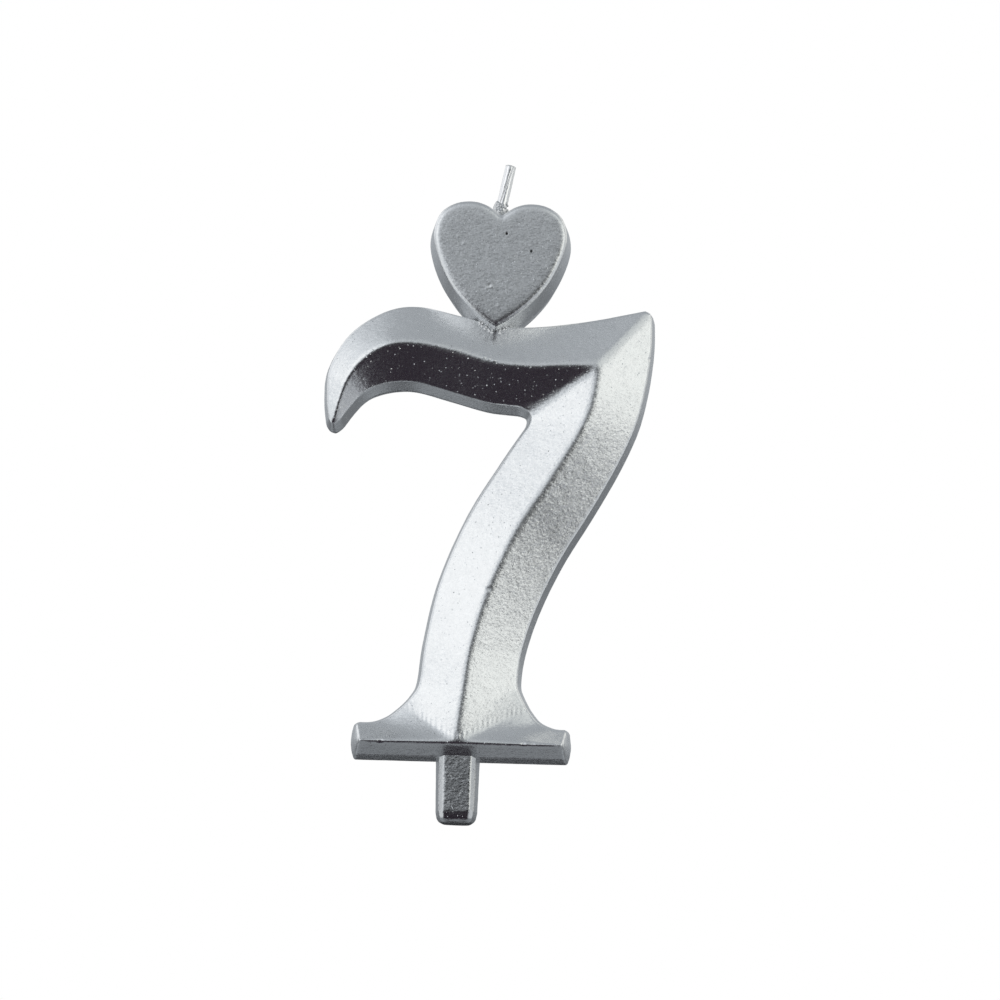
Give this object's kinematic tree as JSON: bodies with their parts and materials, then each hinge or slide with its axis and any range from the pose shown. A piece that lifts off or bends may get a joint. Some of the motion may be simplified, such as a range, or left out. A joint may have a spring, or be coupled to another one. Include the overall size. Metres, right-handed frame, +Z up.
{
  "type": "number birthday candle",
  "caption": "Silvered wax candle shaped as a chiselled numeral seven, with a heart on top, a leaning wick, a foot bar and a peg below.",
  "frame": {"origin": "on the middle plane, at the foot bar's underside, where the peg leaves it", "axes": "+Z up from the peg towards the wick, -Y towards the front, +X to the right as seen from the front"},
  "size_m": [0.0397, 0.0116, 0.0803],
  "materials": {
    "wax": "matte",
    "silver_lacquer": "satin",
    "wick_cotton": "matte"
  },
  "bodies": {
    "root": {"numeral_wax": "wax", "numeral_coat": "silver_lacquer", "heart_wax": "wax", "heart_coat": "silver_lacquer", "peg_wax": "wax", "peg_coat": "silver_lacquer", "wick_yarn_1": "wick_cotton", "wick_yarn_2": "wick_cotton", "wick_yarn_3": "wick_cotton", "wick_collar": "silver_lacquer"}
  },
  "joints": []
}
